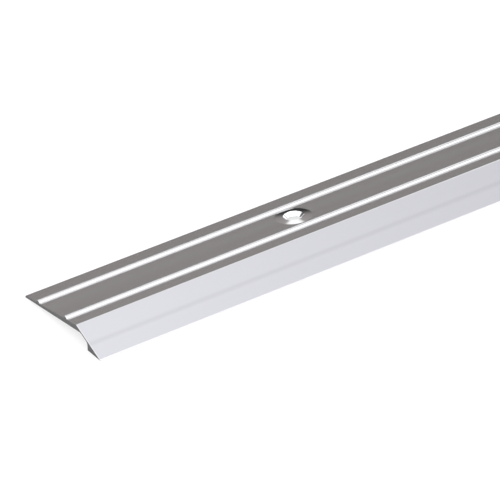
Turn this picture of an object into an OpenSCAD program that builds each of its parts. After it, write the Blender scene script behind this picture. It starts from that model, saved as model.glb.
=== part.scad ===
// Threshold strip: one extruded aluminium profile, cut to length and drilled for countersunk screws.
// X runs along the strip, -Y is the ramp side and Z is up.
// The strip lies on its rear edge and on the foot under the ramp, with the flange arched between them.

/* [Strip] */
// Length of the strip
strip_len = 900; // [300:10:2700]
// Width from the rear edge to the tip of the ramp
strip_w = 38; // [36:0.5:42]
// Height of the crest above the floor
crest_h = 5.5; // [5:0.1:6.5]

/* [Flange] */
// Distance from the rear edge to the crest
flange_w = 26.4; // [24:0.1:26.5]
// Thickness at the rear edge
edge_t = 0.7; // [0.6:0.05:1]
// Height of solid metal under the crest
crest_t = 1.9; // [1.6:0.1:2.2]
// Radius on the upper rear corner
rear_r = 0.4; // [0.2:0.05:0.5]
// Radius on the crest
crest_r = 0.6; // [0.2:0.1:1.2]

/* [Ribs] */
// Distance from the rear edge to the middle of the rear rib
rear_rib = 6.6; // [4:0.1:8]
// Distance from the rear edge to the middle of the front rib
front_rib = 20.5; // [19.5:0.1:22]
// Width of a rib
rib_w = 1.6; // [1.2:0.1:2.4]
// Height of a rib above the flange
rib_h = 0.75; // [0.4:0.05:1]

/* [Ramp and foot] */
// Thickness of the ramp
ramp_t = 0.7; // [0.6:0.05:1]
// Height of the blunt tip
tip_h = 0.35; // [0.3:0.05:0.5]
// Radius on the upper corner of the tip
tip_r = 0.2; // [0.1:0.05:0.25]
// Width of the foot that stands on the floor
foot_w = 6.3; // [5:0.1:7]
// Radius between the back of the foot and the ramp
heel_r = 1.2; // [0.6:0.1:1.5]
// Radius between the ramp and the underside of the flange
arch_r = 1; // [0.5:0.1:1.5]

/* [Screw holes] */
// Number of holes
hole_count = 4; // [2:1:8]
// Distance from each end to the first hole
end_gap = 83; // [40:0.5:100]
// Distance from the rear edge to the middle of a hole
hole_line = 13.3; // [12.8:0.1:14.2]
// Diameter of the hole under the countersink
hole_d = 4; // [3.6:0.1:4.6]
// Diameter of the countersink at its rim
sink_d = 6.2; // [5.8:0.1:6.8]
// Height of the raised rim that pressing the countersink leaves
rim_h = 0.2; // [0.1:0.05:0.3]
// Width of the slope round the rim
rim_w = 2.4; // [1.6:0.1:2.6]

/* [Hidden] */
$fn = 96;

// How far solids run into each other where they join, and how far a cutter runs past a face
lap = 0.25;
over = 3;
// Flats that each rounded corner of the section is made of
corner_steps = 6;

function unit(v) = v / norm(v);
// Crossing of the line through p along d with the line through q along e
function meet(p, d, q, e) = p + d * cross(q - p, e) / cross(d, e);

// Corners of the section, as [distance from the rear edge, height above the floor]
rear_low = [0, 0];
rear_top = [0, edge_t];
crest = [flange_w, crest_h];
tip_top = [strip_w, tip_h];
tip_low = [strip_w, 0];
heel_low = [strip_w - foot_w, 0];

up = [0, 1];
top_dir = unit(crest - rear_top);
ramp_dir = unit(tip_top - crest);
under_dir = unit([flange_w, crest_h - crest_t]);
ramp_under = crest + ramp_t * [ramp_dir.y, -ramp_dir.x];
arch = meet(rear_low, under_dir, ramp_under, ramp_dir);
heel_top = meet(heel_low, up, ramp_under, ramp_dir);

flange_tilt = atan2(top_dir.y, top_dir.x);
hole_pitch = (strip_len - 2 * end_gap) / (hole_count - 1);

// A point on the flange's top, at this distance from the rear edge
function on_top(across) = meet([across, 0], up, rear_top, top_dir);

// Points round a corner on an arc of radius r that touches both of the corner's sides. The sides
// leave the corner along a and b, and the points run from the side along a to the side along b.
function rounded(corner, a, b, r) =
    let (half = acos(a * b) / 2, bisector = unit(a + b), middle = corner + bisector * r / sin(half),
         first = corner + a * r / tan(half) - middle, turn = sign(cross(b, a)) * (180 - 2 * half))
    [for (i = [0 : corner_steps]) middle + turned(first, turn * i / corner_steps)];
function turned(v, angle) = [v.x * cos(angle) - v.y * sin(angle), v.x * sin(angle) + v.y * cos(angle)];

// Half-round rib standing on the flange
module rib(across) {
    translate(on_top(across)) rotate(flange_tilt) intersection() {
        translate([0, rib_h - rib_w / 2]) circle(d = rib_w);
        translate([-rib_w / 2, -lap]) square([rib_w, rib_h + 2 * lap]);
    }
}

module section() {
    polygon(concat(
        [rear_low],
        rounded(rear_top, -up, top_dir, rear_r),
        rounded(crest, -top_dir, ramp_dir, crest_r),
        rounded(tip_top, -ramp_dir, -up, tip_r),
        [tip_low, heel_low],
        rounded(heel_top, -up, -ramp_dir, heel_r),
        rounded(arch, ramp_dir, -under_dir, arch_r)
    ));
    rib(rear_rib);
    rib(front_rib);
}

// Runs a section along the whole strip, with its rear edge at +Y
module along_strip() {
    rotate([90, 0, 90]) linear_extrude(strip_len, center = true)
        translate([strip_w / 2, 0]) mirror([1, 0]) children();
}

// Places its children on the flange at each hole, with Z square to the flange
module at_holes() {
    seat = on_top(hole_line);
    for (i = [0 : hole_count - 1])
        translate([end_gap + i * hole_pitch - strip_len / 2, strip_w / 2 - seat.x, seat.y])
            rotate([-flange_tilt, 0, 0]) children();
}

// Low cone of metal that stands round the countersink, with its lower half sunk in the flange
module rim() {
    translate([0, 0, -rim_h]) cylinder(d1 = sink_d + 4 * rim_w, d2 = sink_d, h = 2 * rim_h);
}

// Right-angled countersink and the hole under it
module screw_cutter() {
    translate([0, 0, -over]) cylinder(d = hole_d, h = over + rim_h);
    translate([0, 0, rim_h - sink_d / 2]) cylinder(d1 = 0, d2 = sink_d + 2 * over, h = sink_d / 2 + over);
}

module profile() {
    color("silver") difference() {
        union() {
            along_strip() section();
            at_holes() rim();
        }
        at_holes() screw_cutter();
    }
}

profile();
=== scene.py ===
import math
import bmesh
import bpy
from mathutils import Matrix, Vector


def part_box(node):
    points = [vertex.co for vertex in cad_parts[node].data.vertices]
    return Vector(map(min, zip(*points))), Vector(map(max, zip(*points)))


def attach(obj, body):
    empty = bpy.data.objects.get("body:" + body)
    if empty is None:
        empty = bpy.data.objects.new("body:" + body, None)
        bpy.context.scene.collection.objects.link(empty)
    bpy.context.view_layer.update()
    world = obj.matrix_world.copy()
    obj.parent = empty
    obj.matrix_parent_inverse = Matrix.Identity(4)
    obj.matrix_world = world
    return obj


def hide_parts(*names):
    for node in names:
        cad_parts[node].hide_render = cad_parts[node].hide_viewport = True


# Threshold strip: one anodised aluminium extrusion with a ribbed flange, a ramp and countersunk holes.
# X runs along the strip, -Y is the ramp side and Z is up.
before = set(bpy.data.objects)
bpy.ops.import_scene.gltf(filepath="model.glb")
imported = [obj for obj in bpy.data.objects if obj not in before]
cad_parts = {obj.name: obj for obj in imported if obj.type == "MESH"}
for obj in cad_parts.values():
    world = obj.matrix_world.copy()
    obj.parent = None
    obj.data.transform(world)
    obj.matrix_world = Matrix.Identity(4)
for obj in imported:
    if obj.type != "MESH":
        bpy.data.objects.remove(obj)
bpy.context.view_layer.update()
mm = 0.001
low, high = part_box("profile")
print("frame loaded, strip", [round(size / mm, 2) for size in high - low], "mm")

# camera
viewpoint = {
    "azimuth": -35.17,
    "elevation": 33.56,
    "distance": 1.205,      # metres
    "alongFromEnd": 65.35,  # where the camera looks: from the near end, and back from the middle
    "backFromMiddle": 2.36,
    "lens": 304.4,
}


def direction(azimuth, elevation):
    a, e = math.radians(azimuth), math.radians(elevation)
    return Vector((math.sin(a) * math.cos(e), -math.cos(a) * math.cos(e), math.sin(e)))


def makeCamera(look):
    data = bpy.data.cameras.new("camera")
    data.lens = look["lens"]
    data.sensor_width = 36
    data.clip_start = 0.05
    data.clip_end = 100
    camera = bpy.data.objects.new("camera", data)
    bpy.context.scene.collection.objects.link(camera)
    back = direction(look["azimuth"], look["elevation"])
    aim = Vector((low.x + look["alongFromEnd"] * mm, look["backFromMiddle"] * mm, 0))
    camera.location = aim + back * look["distance"]
    camera.rotation_euler = back.to_track_quat("Z", "Y").to_euler()
    bpy.context.scene.camera = camera


makeCamera(viewpoint)


# node helpers
def newMaterial(name):
    material = bpy.data.materials.new(name)
    material.use_nodes = True
    tree = material.node_tree
    return material, tree, tree.nodes["Principled BSDF"]


def addNode(tree, kind, inputs=None, **settings):
    node = tree.nodes.new(kind)
    for key, value in settings.items():
        setattr(node, key, value)
    for key, value in (inputs or {}).items():
        if isinstance(value, bpy.types.NodeSocket):
            tree.links.new(value, node.inputs[key])
        else:
            node.inputs[key].default_value = value
    return node


def stretchedNoise(tree, scale, detail=2.0, turn=0.0):
    # noise on the piece's own coordinates, with a scale for each axis in waves per metre
    source = addNode(tree, "ShaderNodeTexCoord")
    turned = addNode(tree, "ShaderNodeMapping",
                     {"Vector": source.outputs["Object"], "Rotation": (turn, 0, 0)})
    scaled = addNode(tree, "ShaderNodeMapping", {"Vector": turned.outputs["Vector"], "Scale": scale})
    return addNode(tree, "ShaderNodeTexNoise",
                   {"Vector": scaled.outputs["Vector"], "Scale": 1.0, "Detail": detail}).outputs["Fac"]


def ranged(tree, value, least, most, start=0.3, stop=0.7):
    return addNode(tree, "ShaderNodeMapRange", {"Value": value, "From Min": start, "From Max": stop,
                                                "To Min": least, "To Max": most}).outputs["Result"]


# strip
strip = {
    "flangeWidth": 26.4,    # rear edge to crest
    "edgeHeight": 0.7,
    "crestDepth": 1.9,      # metal under the crest
    "crestHeight": 5.5,     # where the flange and the ramp would meet if the crest weren't rounded
    "rearRound": 0.4,
    "crestRound": 0.6,
    "ribMiddles": (6.6, 20.5),
    "ribWidth": 1.6,
    "ribHeight": 0.75,
    "ribSteps": 24,
    "rampThickness": 0.7,
    "tipHeight": 0.35,
    "tipRound": 0.2,
    "footWidth": 6.3,
    "heelRound": 1.2,
    "archRound": 1.0,
    "edgeBreak": 0.12,      # chamfer on the sawn ends
    "roundSteps": 8,
}
holes = {
    "endGap": 83,
    "count": 4,
    "acrossFromRear": 13.3,
    "bore": 4.0,
    "sink": 6.2,
    "rimHeight": 0.2,       # low swelling round the countersink
    "rimWidth": 2.4,
    "spare": 1,             # how far the rim's slope and the cutter run past the countersink's edge
    "cutDepth": 3,
    "weldDistance": 0.002,
    "steps": 96,
}
rearY = high.y


def place(across, height):
    # a point of the section: distance from the rear edge and height, in millimetres
    return Vector((low.x, rearY - across * mm, height * mm))


def crossing(p, d, q, e):
    # where the line through p along d meets the line through q along e, in the YZ plane
    gap = q - p
    return p + d * (gap.y * e.z - gap.z * e.y) / (d.y * e.z - d.z * e.y)


stripWidth = (high.y - low.y) / mm
crest = place(strip["flangeWidth"], strip["crestHeight"])
rearTop = place(0, strip["edgeHeight"])
tipTop = place(stripWidth, strip["tipHeight"])
flangeRun = (crest - rearTop).normalized()
flangeUp = Vector((1, 0, 0)).cross(-flangeRun)
rampRun = (tipTop - crest).normalized()
rampUp = Vector((1, 0, 0)).cross(-rampRun)


def onFlange(across):
    return rearTop + flangeRun * (across * mm / abs(flangeRun.y))


def addRib(bm, middle):
    # half-round rib: a point swept about the rib's own middle, from its rear foot to its front foot
    radius = strip["ribWidth"] / 2 * mm
    centre = onFlange(middle) + flangeUp * (strip["ribHeight"] * mm - radius)
    sunk = radius - strip["ribHeight"] * mm
    reach = math.sqrt(radius ** 2 - sunk ** 2)
    foot = bm.verts.new(onFlange(middle) - flangeRun * reach)
    halfTurn = math.pi / 2 - math.asin(sunk / radius)
    before = len(bm.verts)
    bmesh.ops.spin(bm, geom=[foot], cent=centre, axis=(1, 0, 0), angle=2 * halfTurn,
                   steps=strip["ribSteps"])
    bm.verts.ensure_lookup_table()
    return [foot] + [bm.verts[i] for i in range(before, len(bm.verts))]


def makeSection(bm):
    # the outline from the underside of the rear edge, over the top and back along the underside
    crestUnder = place(strip["flangeWidth"], strip["crestHeight"] - strip["crestDepth"])
    under = (crestUnder - place(0, 0)).normalized()
    rampUnder = crest - rampUp * strip["rampThickness"] * mm
    heelLow = place(stripWidth - strip["footWidth"], 0)
    heelTop = crossing(heelLow, Vector((0, 0, 1)), rampUnder, rampRun)
    arch = crossing(place(0, 0), under, rampUnder, rampRun)
    outline = [bm.verts.new(place(0, 0)), bm.verts.new(rearTop)]
    rounds = {outline[1]: strip["rearRound"]}
    for middle in strip["ribMiddles"]:
        outline += addRib(bm, middle)
    for point, radius in ((crest, "crestRound"), (tipTop, "tipRound"), (place(stripWidth, 0), None),
                          (heelLow, None), (heelTop, "heelRound"), (arch, "archRound")):
        outline.append(bm.verts.new(point))
        if radius:
            rounds[outline[-1]] = strip[radius]
    for start, end in zip(outline, outline[1:] + outline[:1]):
        if not bm.edges.get((start, end)):
            bm.edges.new((start, end))
    bmesh.ops.edgeloop_fill(bm, edges=bm.edges)
    for corner, radius in rounds.items():
        sides = [(edge.other_vert(corner).co - corner.co).normalized() for edge in corner.link_edges]
        half = sides[0].angle(sides[1]) / 2
        bmesh.ops.bevel(bm, geom=[corner], offset=radius * mm / math.tan(half), affect="VERTICES",
                        segments=strip["roundSteps"], profile=0.5, material=-1)


def makeBar():
    bm = bmesh.new()
    makeSection(bm)
    chamfer = strip["edgeBreak"] * mm
    run = high.x - low.x - 2 * chamfer
    bmesh.ops.translate(bm, vec=(chamfer, 0, 0), verts=bm.verts)
    section = bm.faces[:]
    swept = bmesh.ops.extrude_face_region(bm, geom=section)
    moved = [item for item in swept["geom"] if isinstance(item, bmesh.types.BMVert)]
    bmesh.ops.translate(bm, vec=(run, 0, 0), verts=moved)
    bmesh.ops.recalc_face_normals(bm, faces=bm.faces)
    ends = [face for face in bm.faces if abs(face.normal.x) > 0.9]
    for end in ends:
        bmesh.ops.inset_region(bm, faces=[end], thickness=chamfer, depth=chamfer, use_even_offset=True)
    return bm


def toObject(bm, name):
    mesh = bpy.data.meshes.new(name)
    bm.to_mesh(mesh)
    bm.free()
    made = bpy.data.objects.new(name, mesh)
    bpy.context.scene.collection.objects.link(made)
    return made


bar = toObject(makeBar(), "profile_look")
print("bar made,", len(bar.data.polygons), "faces")


def turnedSolid(bm, points, spot):
    # a closed solid turned about the hole's axis from (radius, height above the flange) points
    chain = [bm.verts.new((radius * mm, 0, height * mm)) for radius, height in points]
    edges = [bm.edges.new(pair) for pair in zip(chain, chain[1:])]
    before = set(bm.verts) - set(chain)
    bmesh.ops.spin(bm, geom=chain + edges, cent=(0, 0, 0), axis=(0, 0, 1), angle=2 * math.pi,
                   steps=holes["steps"], use_merge=True)
    made = [vert for vert in bm.verts if vert not in before]
    bmesh.ops.remove_doubles(bm, verts=made, dist=1e-7)
    made = [vert for vert in bm.verts if vert not in before]
    bmesh.ops.transform(bm, matrix=spot, verts=made)


def holeSpots():
    seat = onFlange(holes["acrossFromRear"])
    tilt = flangeUp.to_track_quat("Z", "Y").to_matrix().to_4x4()
    pitch = (high.x - low.x - 2 * holes["endGap"] * mm) / (holes["count"] - 1)
    for i in range(holes["count"]):
        seat.x = low.x + holes["endGap"] * mm + i * pitch
        yield Matrix.Translation(seat) @ tilt


def makeTool(name, points):
    bm = bmesh.new()
    for spot in holeSpots():
        turnedSolid(bm, points, spot)
    bmesh.ops.recalc_face_normals(bm, faces=bm.faces)
    return toObject(bm, name)


def applied(piece):
    graph = bpy.context.evaluated_depsgraph_get()
    result = bpy.data.meshes.new_from_object(piece.evaluated_get(graph))
    piece.modifiers.clear()
    piece.data = result


def weld(mesh):
    # a cut leaves some points twice, a hair apart
    bm = bmesh.new()
    bm.from_mesh(mesh)
    distance = holes["weldDistance"] * mm
    bmesh.ops.remove_doubles(bm, verts=bm.verts, dist=distance)
    bmesh.ops.dissolve_degenerate(bm, edges=bm.edges, dist=distance)
    bm.to_mesh(mesh)
    bm.free()


def combine(piece, tool, operation):
    step = piece.modifiers.new(operation, "BOOLEAN")
    step.operation = operation
    step.object = tool
    step.solver = "EXACT"
    applied(piece)
    bpy.data.objects.remove(tool)
    weld(piece.data)


sinkRadius, boreRadius = holes["sink"] / 2, holes["bore"] / 2
rimTop, rimWidth = holes["rimHeight"], holes["rimWidth"]
rimFoot = sinkRadius + rimWidth
spare, cutDepth = holes["spare"], holes["cutDepth"]
# the rim's slope runs on inwards, so that the countersink cuts through it and not along its edge
rimPeak = rimTop * (1 + spare / rimWidth)
rimSlope = [(0, -rimTop), (rimFoot + rimWidth, -rimTop), (sinkRadius - spare, rimPeak), (0, rimPeak)]
combine(bar, makeTool("rim", rimSlope), "UNION")
# the bore, and above it the right-angled countersink
boreTop = rimTop - sinkRadius + boreRadius
drill = [(0, -cutDepth), (boreRadius, -cutDepth), (boreRadius, boreTop),
         (sinkRadius + spare, rimTop + spare), (0, rimTop + spare)]
combine(bar, makeTool("drill", drill), "DIFFERENCE")
print("holes cut,", len(bar.data.polygons), "faces")


# finishes
flangeTilt = math.atan2(flangeUp.y, flangeUp.z)
toolMarks = {               # rings round a hole, whose axis leans with the flange
    "grain": (400, 400, 400), "grainDetail": 2, "smoother": 0.02, "rougher": 0.04,
    "marks": (30, 30, 9000), "markDetail": 2, "markTurn": flangeTilt, "markDepth": 0.01, "markStrength": 0.1,
}
finishes = {
    "anodised": {           # drawn lines along the strip, with patches that vary slowly along it
        "color": (0.78, 0.78, 0.785, 1),
        "roughness": 0.14,
        "grain": (1.2, 260, 260), "grainDetail": 3, "smoother": 0.03, "rougher": 0.04,
        "marks": (6, 5200, 5200), "markDetail": 2, "markTurn": 0, "markDepth": 0.02, "markStrength": 0.3,
    },
    "sawnPaintedShade": {               # saw marks down the cut, a little slanted; the dark grey colour is painted shade on the sawn ends
        # painted shade: the sawn ends get a dark grey colour for the shade on them, not the bright bare
        # metal of a saw cut
        "color": (0.15, 0.15, 0.15, 1),
        "roughness": 0.5,
        "grain": (900, 300, 2200), "grainDetail": 2, "smoother": 0.08, "rougher": 0.1,
        "marks": (1, 900, 6000), "markDetail": 3, "markTurn": 0.5, "markDepth": 0.03, "markStrength": 0.5,
    },
    "pressed": {            # rims
        "color": (0.80, 0.80, 0.805, 1),
        "roughness": 0.05,
        **toolMarks,
    },
    "machined": {           # countersinks and bores
        "color": (0.90, 0.90, 0.905, 1),
        "roughness": 0.07,
        **toolMarks,
    },
}
finishNames = list(finishes)
streak = {                  # faint darker line along the ramp, above the heel
    "color": (0.72, 0.72, 0.725, 1),
    "fromRear": 32.8,
    "core": 0.1,
    "reach": 1.1,
}
shading = {
    "endFacing": 0.99,      # how squarely a sawn end faces along the strip
    "sharpFrom": 25,        # degrees
    "rimFootWithin": 0.02,
}


def makeFinish(name, look):
    material, tree, shader = newMaterial(name + "Aluminium")
    shader.inputs["Metallic"].default_value = 1
    shader.inputs["Base Color"].default_value = look["color"]
    grain = stretchedNoise(tree, look["grain"], look["grainDetail"])
    rough = ranged(tree, grain, look["roughness"] - look["smoother"], look["roughness"] + look["rougher"])
    tree.links.new(rough, shader.inputs["Roughness"])
    marks = stretchedNoise(tree, look["marks"], look["markDetail"], look["markTurn"])
    bump = addNode(tree, "ShaderNodeBump", {"Height": marks, "Strength": look["markStrength"],
                                            "Distance": look["markDepth"] * mm})
    tree.links.new(bump.outputs["Normal"], shader.inputs["Normal"])
    return material


def addStreak(material, look):
    tree = material.node_tree
    shader = tree.nodes["Principled BSDF"]
    source = addNode(tree, "ShaderNodeTexCoord")
    across = addNode(tree, "ShaderNodeSeparateXYZ", {"Vector": source.outputs["Object"]}).outputs["Y"]
    middle = rearY - look["fromRear"] * mm
    offset = addNode(tree, "ShaderNodeMath", {0: across, 1: middle}, operation="SUBTRACT").outputs[0]
    away = addNode(tree, "ShaderNodeMath", {0: offset}, operation="ABSOLUTE").outputs[0]
    plain = ranged(tree, away, 0, 1, look["core"] * mm, look["reach"] * mm)
    # sockets 6 and 7 are the mixed colours, and 2 is the result
    mixed = addNode(tree, "ShaderNodeMix", {"Factor": plain, 6: look["color"]}, data_type="RGBA")
    mixed.inputs[7].default_value = shader.inputs["Base Color"].default_value
    tree.links.new(mixed.outputs[2], shader.inputs["Base Color"])


def finishOf(face, spots):
    # by the distance from the nearest hole's axis, or as a sawn end
    reach = min((spot @ face.center).xy.length for spot in spots) / mm
    if reach < sinkRadius:
        return "machined"
    if reach < rimFoot:
        return "pressed"
    return "sawnPaintedShade" if abs(face.normal.x) > shading["endFacing"] else "anodised"


def onRimFoot(point):
    within = shading["rimFootWithin"] * mm
    return abs(point.z) < within and abs(point.xy.length - rimFoot * mm) < within


def dressStrip(piece):
    mesh = piece.data
    mesh.materials.clear()
    for name, look in finishes.items():
        mesh.materials.append(makeFinish(name, look))
    addStreak(mesh.materials[finishNames.index("anodised")], streak)
    spots = [spot.inverted() for spot in holeSpots()]
    for face in mesh.polygons:
        face.use_smooth = True
        face.material_index = finishNames.index(finishOf(face, spots))
    mesh.set_sharp_from_angle(angle=math.radians(shading["sharpFrom"]))
    for edge in mesh.edges:
        ends = [mesh.vertices[i].co for i in edge.vertices]
        if any(all(onRimFoot(spot @ end) for end in ends) for spot in spots):
            edge.use_edge_sharp = True
    # the wide flats keep their own direction, so only the rounded corners shade as curves
    flats = piece.modifiers.new("flats", "WEIGHTED_NORMAL")
    flats.keep_sharp = True
    applied(piece)


dressStrip(bar)
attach(bar, "root")
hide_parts("profile")
print("strip finished")

# floor and light
studio = {
    "floorSize": 60,
    "floorColor": (0.4, 0.4, 0.4, 1),
    "floorRoughness": 0.8,
    "floorGlow": 0.6,       # a light table: it lifts the shadows
    "glowColor": (1, 1, 1, 1),
    "frontSky": 1.0,        # the sky's strength in front of the strip and behind it
    "backSky": 1.3,
    "skyChange": (-0.4, 0.0),
    "sky": [                # how high up, as the sine of the elevation, and the colour there
        (0.00, (0.02, 0.02, 0.02)),
        (0.17, (0.04, 0.04, 0.04)),
        (0.23, (0.15, 0.142, 0.140)),
        (0.27, (0.235, 0.22, 0.217)),
        (0.402, (0.30, 0.281, 0.278)),
        (0.42, (1.0, 1.0, 1.0)),
        (0.74, (1.0, 1.0, 1.0)),
        (0.79, (0.53, 0.53, 0.56)),
        (0.84, (0.58, 0.58, 0.62)),
        (0.90, (0.77, 0.77, 0.82)),
        (1.00, (0.80, 0.80, 0.83)),
    ],
    "lampAim": 100,         # from the near end
    "lampDistance": 4,      # metres
    "lamps": [              # name, azimuth, elevation, width and height in metres, radiance
        ("frontRight", 33, 22, (3, 3), 1.3),
        ("topLeft", -53, 70, (4.6, 3.6), 1.4),
        ("topRight", 52, 60, (1.4, 1.2), 0.9),
        ("lowRight", 110, 10, (1.5, 1.1), 1.2),
    ],
}


def makeFloor(look):
    bm = bmesh.new()
    bmesh.ops.create_grid(bm, x_segments=2, y_segments=2, size=look["floorSize"] / 2)
    floor = toObject(bm, "floor")
    material, _, shader = newMaterial("paleFloor")
    shader.inputs["Base Color"].default_value = look["floorColor"]
    shader.inputs["Roughness"].default_value = look["floorRoughness"]
    shader.inputs["Emission Color"].default_value = look["glowColor"]
    shader.inputs["Emission Strength"].default_value = look["floorGlow"]
    floor.data.materials.append(material)


def makeSky(look):
    world = bpy.data.worlds.new("studio")
    world.use_nodes = True
    tree = world.node_tree
    background = tree.nodes["Background"]
    source = addNode(tree, "ShaderNodeTexCoord")
    split = addNode(tree, "ShaderNodeSeparateXYZ", {"Vector": source.outputs["Generated"]})
    bands = addNode(tree, "ShaderNodeValToRGB", {"Fac": split.outputs["Z"]})
    stops = bands.color_ramp.elements
    stops[0].color = (*look["sky"][0][1], 1)
    stops[1].color = (*look["sky"][-1][1], 1)
    for height, color in look["sky"][1:-1]:
        stops.new(height).color = (*color, 1)
    tree.links.new(bands.outputs["Color"], background.inputs["Color"])
    strength = ranged(tree, split.outputs["Y"], look["frontSky"], look["backSky"], *look["skyChange"])
    tree.links.new(strength, background.inputs["Strength"])
    bpy.context.scene.world = world


def addLamp(look, name, azimuth, elevation, size, radiance):
    data = bpy.data.lights.new(name, "AREA")
    data.shape = "RECTANGLE"
    data.size, data.size_y = size
    data.energy = radiance * math.pi * size[0] * size[1]
    lamp = bpy.data.objects.new(name, data)
    back = direction(azimuth, elevation)
    lamp.location = Vector((low.x + look["lampAim"] * mm, 0, 0)) + back * look["lampDistance"]
    lamp.rotation_euler = back.to_track_quat("Z", "Y").to_euler()
    bpy.context.scene.collection.objects.link(lamp)


makeFloor(studio)
makeSky(studio)
for lamp in studio["lamps"]:
    addLamp(studio, *lamp)
bpy.context.scene.view_settings.view_transform = "Standard"
print("studio lit")
